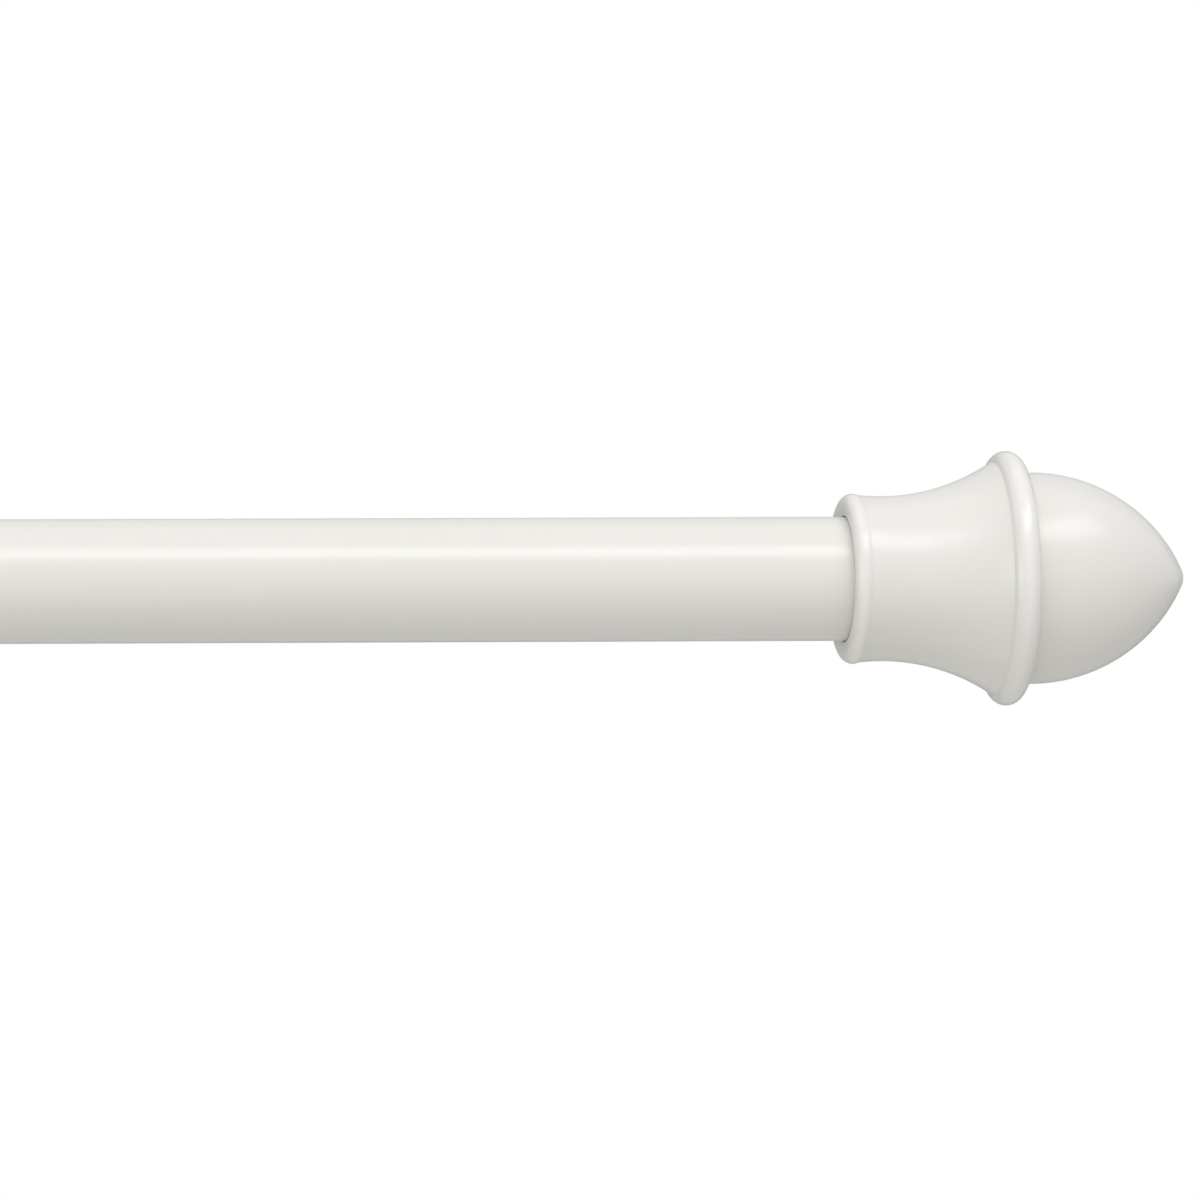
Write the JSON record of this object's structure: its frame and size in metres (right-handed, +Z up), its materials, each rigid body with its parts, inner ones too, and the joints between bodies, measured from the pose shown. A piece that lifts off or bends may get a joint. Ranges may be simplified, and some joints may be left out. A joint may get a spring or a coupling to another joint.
{
  "type": "cafe rod",
  "caption": "Adjustable white cafe curtain rod: an inner tube telescopes in an outer tube, and a slip-on acorn finial with a flared, collared bell closes each end.",
  "frame": {"origin": "on the rod's axis at the middle of the right bracket's seat, 25 mm inboard of the right finial's mouth", "axes": "+X along the rod towards the right finial's tip, +Z up, -Y towards the room"},
  "size_m": [0.7684, 0.0326, 0.0326],
  "materials": {
    "painted_tube": "satin white baked enamel on steel tube",
    "finial_plastic": "satin white moulded plastic",
    "bush_plastic": "natural white moulded plastic"
  },
  "bodies": {
    "outer_rod": {"outer_tube": "painted_tube"},
    "inner_rod": {"inner_tube": "painted_tube", "inner_tube_glide": "bush_plastic", "reducer_sleeve": "bush_plastic"},
    "right_finial": {"right_finial_bell": "finial_plastic", "right_finial_acorn": "finial_plastic"},
    "left_finial": {"left_finial_bell": "finial_plastic", "left_finial_acorn": "finial_plastic"}
  },
  "joints": [
    {"name": "telescope_slide", "type": "slide", "parent": "outer_rod", "child": "inner_rod", "axis": [-1, 0, 0], "range_m": [0, 0.508]},
    {"name": "right_finial_pull", "type": "slide", "parent": "outer_rod", "child": "right_finial", "axis": [1, 0, 0], "range_m": [0, 0.025]},
    {"name": "left_finial_pull", "type": "slide", "parent": "inner_rod", "child": "left_finial", "axis": [-1, 0, 0], "range_m": [0, 0.025]}
  ]
}
